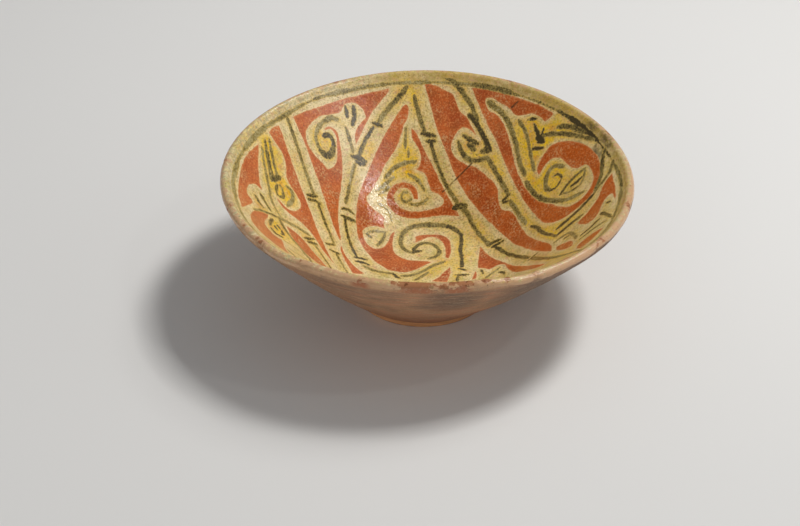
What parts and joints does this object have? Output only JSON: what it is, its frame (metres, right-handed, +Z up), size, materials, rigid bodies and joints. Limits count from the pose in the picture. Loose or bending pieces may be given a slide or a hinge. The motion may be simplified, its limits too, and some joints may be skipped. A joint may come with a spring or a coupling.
{
  "type": "slipware bowl",
  "caption": "Conical earthenware bowl on a low disc foot, its cream-slipped inside painted with dark scrolls among red fields under a clear glaze, for serving food or display.",
  "frame": {"origin": "middle of the foot's resting plane", "axes": "+Z up along the axis the bowl was thrown on, -Y towards the viewer of the picture"},
  "size_m": [0.2, 0.2, 0.0683],
  "materials": {
    "clay": "bare buff-pink earthenware",
    "foot_clay": "bare red-brown earthenware, worn",
    "cream_slip": "cream slip under glaze",
    "red_slip": "brick-red slip under glaze",
    "dark_slip": "olive-brown slip under glaze",
    "clear_glaze": "clear, faintly yellow glaze"
  },
  "bodies": {
    "root": {"branch_right_lower": "dark_slip", "branch_right_upper": "dark_slip", "clay_wall": "clay", "clear_glaze": "clear_glaze", "cream_slip": "cream_slip", "curl_front": "dark_slip", "curl_left": "dark_slip", "curl_right_vein": "dark_slip", "drop_leaf_vein": "dark_slip", "foot_disc": "foot_clay", "leaf_left_vein": "dark_slip", "leaf_middle_vein": "dark_slip", "leaf_right_stem": "dark_slip", "line_front_curved": "dark_slip", "line_left_curved": "dark_slip", "line_left_short": "dark_slip", "line_left_straight": "dark_slip", "line_right_curved": "dark_slip", "line_right_straight": "dark_slip", "palmette_left_bud": "dark_slip", "palmette_left_stem": "dark_slip", "palmette_left_vein": "dark_slip", "palmette_middle_lower": "dark_slip", "palmette_middle_upper": "dark_slip", "palmette_right_branch": "dark_slip", "palmette_right_eye": "dark_slip", "palmette_right_inner": "dark_slip", "palmette_right_lid": "dark_slip", "palmette_right_line": "dark_slip", "red_centre_wedge": "red_slip", "red_front_crescent": "red_slip", "red_front_eye": "red_slip", "red_front_inner": "red_slip", "red_front_left": "red_slip", "red_front_middle": "red_slip", "red_front_right": "red_slip", "red_front_strip": "red_slip", "red_front_wedge": "red_slip", "red_left_branch": "red_slip", "red_left_front": "red_slip", "red_left_lower": "red_slip", "red_left_middle": "red_slip", "red_left_rim": "red_slip", "red_left_upper": "red_slip", "red_middle_left": "red_slip", "red_middle_right": "red_slip", "red_palmette_eye": "red_slip", "red_right_front": "red_slip", "red_right_leaf": "red_slip", "red_right_middle": "red_slip", "red_right_rim": "red_slip", "red_right_ring": "red_slip", "red_scroll_crescent": "red_slip", "red_stem_right": "red_slip", "rim_line": "dark_slip", "scroll_foot": "dark_slip", "scroll_front": "dark_slip", "scroll_middle": "dark_slip"}
  },
  "joints": []
}
